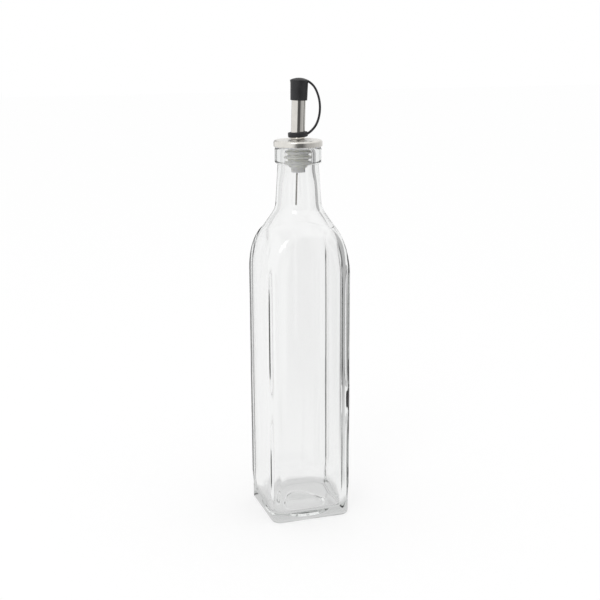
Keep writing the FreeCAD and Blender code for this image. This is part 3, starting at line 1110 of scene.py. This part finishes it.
    def tether(self) -> bmesh.types.BMesh:
        """The strap: its cross-section swept round one arc after the other.

        Returns:
            A closed mesh in millimetres, before the spout's lean.
        """
        mesh = bmesh.new()
        arcs = self.tether_arcs()
        top = arcs[0][0]
        bmesh.ops.create_grid(mesh, x_segments=1, y_segments=1, size=0.5)
        bend = self.dome_bend - self.tether_thickness / 2
        start = (Matrix.Translation(top) @ Matrix.Rotation(-math.radians(arcs[0][1]), 4, "Y")
                 @ Matrix.Translation((bend, 0, 0))
                 @ Matrix.Diagonal((self.tether_thickness, self.tether_width, 1, 1)))
        bmesh.ops.transform(mesh, matrix=start, verts=mesh.verts)
        bmesh.ops.bevel(mesh, geom=mesh.verts[:], offset=self.tether_thickness * self.tether_round,
                        offset_type="OFFSET", affect="VERTICES", segments=3, profile=0.5,
                        material=-1)
        geom = mesh.faces[:] + mesh.edges[:] + mesh.verts[:]
        for centre, begin, end in arcs:
            made = bmesh.ops.spin(mesh, geom=geom, cent=centre, axis=(0, 1, 0), dvec=(0, 0, 0),
                                  angle=math.radians(begin - end),
                                  steps=max(6, round(abs(begin - end) / self.tether_turn)),
                                  use_merge=False, use_normal_flip=False, use_duplicate=False)
            geom = made["geom_last"]
        bmesh.ops.remove_doubles(mesh, verts=mesh.verts, dist=1e-4)
        bmesh.ops.recalc_face_normals(mesh, faces=mesh.faces)
        return mesh

    def cap(self) -> Object:
        """Rubber cap, tether and ring, moulded as one.

        Returns:
            The cap with its tether and ring.
        """
        socket = self.spout_radius + self.fit
        socket_top = self.lip + self.spout_tip + self.fit
        cap_top = socket_top + self.cap_crown
        low = cap_top - self.cap_length
        radius = socket + self.cap_wall
        rim = radius + self.cap_spread + self.cap_rim
        centre = cap_top - self.dome_bend
        rim_height = centre + math.sqrt(self.dome_bend ** 2 - rim ** 2)
        end_round, mouth_inside, mouth_outside, flare = self.cap_rounds
        side = rounded_path([
            (0, socket_top, 0), (socket, socket_top, end_round), (socket, low, mouth_inside),
            (radius, low, mouth_outside),
            (radius + self.cap_spread, rim_height - self.cap_rim_drop, flare),
            (rim, rim_height, 0),
        ], bow=15.0)
        rim_angle = math.asin(rim / self.dome_bend)
        for i in range(1, self.dome_steps + 1):
            angle = rim_angle * (1 - i / self.dome_steps)
            side.append((self.dome_bend * math.sin(angle),
                         centre + self.dome_bend * math.cos(angle)))
        cap = piece_from(spun(side, closed=False, steps=self.soft_steps), "rubber_cap_and_tether",
                         self.leaning(), sharp=50.0)
        strap = piece_from(self.tether(), "strap", self.leaning())
        return boolean(boolean(cap, strap, "UNION"), self.ring(), "UNION")

    def ring(self) -> Object:
        """The ring round the spout that holds the tether.

        Returns:
            The ring, in its place.
        """
        inner = self.spout_radius + self.ring_gap
        outer = inner + self.ring_wall
        half = self.ring_height / 2
        inner_round, outer_round = self.ring_rounds
        outline = rounded_path([(inner, -half, inner_round), (outer, -half, outer_round),
                                (outer, half, outer_round), (inner, half, inner_round)],
                               closed=True, bow=15.0)
        tilt = (Matrix.Translation((0, 0, self.lip + self.ring_middle))
                @ Matrix.Rotation(-math.radians(self.ring_tilt), 4, "Y"))
        return piece_from(spun(outline, closed=True, steps=self.soft_steps), "ring",
                          self.leaning() @ tilt)


# -------------------------------------------------------------------- studio
@dataclass
class Studio:
    """Floor, surroundings, lamp and camera, in metres.

    Glass and steel show a darker studio than the camera and all else see.  Its
    brightness goes by bearing, in degrees from +X: bearings holds it for what glass
    lets through, and mirrored for mirror images.  It fades out upwards between the
    slopes of bands_top, and on the floor between the distances of bands_start.
    """

    camera_azimuth: float = -18.08
    camera_distance: float = 0.75925
    camera_height: float = 0.34068
    camera_tilt: float = 13.982
    camera_roll: float = -0.31
    lens: float = 65.537
    sensor: float = 36.0
    shift: Point = (0.0018, 0.0126)
    clip: Point = (0.01, 50.0)
    floor_reach: float = 6.0
    floor_colour: Colour = (0.97, 0.97, 0.97)
    floor_glow: float = 0.7
    # Painted shade: for glass and steel the floor glows at this darker level in a disc under the
    # bottle, and fades out to near_level between the two distances below.
    shade: float = 0.66
    painted_shade_edge: Point = (0.043, 0.056)
    near_level: float = 0.93
    bands_start: Point = (0.10, 0.35)
    bands_top: Point = (0.40, 0.55)
    bearings: tuple[Point, ...] = (
        (-180, 1.0), (-110, 0.95), (-75, 0.95), (-72, 0.16), (-55, 0.16), (-52, 0.9),
        (-38, 0.9), (-35, 0.16), (-7, 0.16), (-4, 0.85), (4, 0.85), (7, 0.16), (12, 0.16),
        (15, 0.45), (36, 0.45), (40, 0.95), (60, 0.97), (95, 0.97), (105, 0.75), (130, 0.85),
        (150, 1.0), (180, 1.0))
    mirrored: tuple[Point, ...] = (
        (-180, 1.0), (-127, 1.0), (-119, 0.12), (-82, 0.10), (-70, 0.48), (-20, 0.65), (40, 0.85),
        (66, 0.95), (80, 0.95), (85, 0.2), (97, 0.2), (102, 1.0), (180, 1.0))
    key_place: Axes = (-0.75, -0.9, 1.15)
    key_aim: Axes = (0.0, 0.0, 0.18)
    key_size: float = 0.42
    key_power: float = 2.2

    def camera(self) -> None:
        """Set the camera."""
        data = bpy.data.cameras.new("camera")
        data.lens = self.lens
        data.sensor_width = self.sensor
        data.shift_x, data.shift_y = self.shift
        data.clip_start, data.clip_end = self.clip
        camera = bpy.data.objects.new("camera", data)
        azimuth = math.radians(self.camera_azimuth)
        turn = (Matrix.Rotation(azimuth, 4, "Z")
                @ Matrix.Rotation(math.radians(90 - self.camera_tilt), 4, "X")
                @ Matrix.Rotation(math.radians(self.camera_roll), 4, "Z"))
        place = Matrix.Translation((self.camera_distance * math.sin(azimuth),
                                    -self.camera_distance * math.cos(azimuth), self.camera_height))
        camera.matrix_world = place @ turn
        bpy.context.scene.collection.objects.link(camera)
        bpy.context.scene.camera = camera

    def levels(self, nodes: Nodes, place: NodeSocket) -> NodeSocket:
        """Brightness of the studio by bearing, as clear glass and steel show it.

        Args:
            nodes: the tree to build in.
            place: a direction or a place.

        Returns:
            The brightness.
        """
        split = nodes.add("SeparateXYZ", {"Vector": place}).node.outputs
        bearing = nodes.add("Math", {0: split["Y"], 1: split["X"]}, operation="ARCTAN2")
        share = nodes.add("MapRange", {"Value": bearing, "From Min": -math.pi,
                                       "From Max": math.pi})
        mirrored, through = (
            nodes.ramp(share, [((degrees + 180) / 360, (level, level, level))
                               for degrees, level in stops])
            for stops in (self.mirrored, self.bearings))
        clear = nodes.add("LightPath", output="Is Transmission Ray")
        return nodes.between(clear, mirrored, through)

    def seen_through(self, nodes: Nodes) -> NodeSocket:
        """One for rays that metal reflects or glass lets through, nought for others."""
        path = nodes.add("LightPath").node.outputs
        return nodes.add("Math", {0: path["Is Glossy Ray"], 1: path["Is Transmission Ray"]},
                         operation="MAXIMUM")

    def world(self) -> None:
        """White surroundings, with some darker bearings that only glass and steel show."""
        world = bpy.data.worlds.new("studio")
        bpy.context.scene.world = world
        world.use_nodes = True
        nodes = Nodes(world.node_tree)
        place = nodes.add("TexCoord", output="Generated")
        slope = nodes.add("SeparateXYZ", {"Vector": place}, output="Z")
        start, end = self.bands_top
        low = nodes.add("MapRange", {"Value": slope, "From Min": start, "From Max": end,
                                     "To Min": 1.0, "To Max": 0.0})
        share = nodes.add("Math", {0: low, 1: self.seen_through(nodes)}, operation="MULTIPLY")
        plain = nodes.add("Background", {"Color": WHITE})
        banded = nodes.add("Background", {"Color": self.levels(nodes, place)})
        nodes.show("OutputWorld", Surface=nodes.add("MixShader", {"Fac": share, 1: plain,
                                                                  2: banded}))

    def floor_material(self) -> Material:
        """Pale floor that keeps a light shadow, and that glass and steel show darker, with a
        painted shade in a disc under the bottle.

        Returns:
            The material.
        """
        material, nodes = new_material("pale_floor")
        seen = nodes.add("LightPath", output="Is Camera Ray")
        share = nodes.add("Math", {0: seen, 1: self.floor_glow}, operation="MULTIPLY")
        plain = nodes.add("BsdfDiffuse", {"Color": (*self.floor_colour, 1)})
        glow = nodes.add("Emission", {"Color": WHITE})
        lit = nodes.add("MixShader", {"Fac": share, 1: plain, 2: glow})
        place = nodes.add("TexCoord", output="Object")
        reach = nodes.add("VectorMath", {0: place}, "Value", operation="LENGTH")
        # Painted shade: a darker disc of glow under the bottle that glass and steel see, standing
        # in for its shadow.
        start, end = self.painted_shade_edge
        under = nodes.add("MapRange", {"Value": reach, "From Min": start, "From Max": end,
                                       "To Min": self.shade, "To Max": self.near_level})
        start, end = self.bands_start
        level = nodes.add("MapRange", {"Value": reach, "From Min": start, "From Max": end,
                                       "To Min": under, "To Max": self.levels(nodes, place)})
        banded = nodes.add("Emission", {"Color": level})
        nodes.show(Surface=nodes.add("MixShader", {"Fac": self.seen_through(nodes), 1: lit,
                                                   2: banded}))
        return material

    def floor(self) -> None:
        """Lay the floor."""
        mesh = bmesh.new()
        bmesh.ops.create_grid(mesh, x_segments=1, y_segments=1, size=self.floor_reach)
        data = bpy.data.meshes.new("floor")
        mesh.to_mesh(data)
        mesh.free()
        floor = bpy.data.objects.new("floor", data)
        bpy.context.scene.collection.objects.link(floor)
        data.materials.append(self.floor_material())

    def lamp(self) -> None:
        """Hang the one soft, square lamp."""
        data = bpy.data.lights.new("key", "AREA")
        data.shape = "SQUARE"
        data.size = self.key_size
        data.energy = self.key_power
        lamp = bpy.data.objects.new("key", data)
        aim = Vector(self.key_aim) - Vector(self.key_place)
        turn = aim.to_track_quat("-Z", "Y").to_matrix().to_4x4()
        lamp.matrix_world = Matrix.Translation(self.key_place) @ turn
        bpy.context.scene.collection.objects.link(lamp)

    def build(self) -> None:
        """Set everything up."""
        bpy.context.scene.view_settings.view_transform = "Standard"
        self.camera()
        self.world()
        self.floor()
        self.lamp()


def main() -> None:
    """Build the bottle, its pourer and the studio."""
    logging.basicConfig(level=logging.INFO, format="%(name)s: %(message)s")
    Studio().build()
    satin = Steel("satin_steel", (0.78, 0.76, 0.72), roughness=(0.24, 0.32))
    dull = Steel("dull_steel", (0.34, 0.33, 0.31), roughness=(0.2, 0.3))
    pourer = Pourer()
    settle(GlassBottle().build(), CadNode.BOTTLE, ClearGlass().make())
    settle(pourer.plug(), CadNode.PLUG, SoftPlug().make())
    settle(pourer.plate(), CadNode.PLATE, satin.make())
    settle(pourer.spout(), CadNode.SPOUT, Steel().make())
    settle(pourer.vent(), CadNode.VENT, dull.make())
    settle(pourer.cap(), CadNode.CAP, BlackRubber().make())


if __name__ == "__main__":
    main()
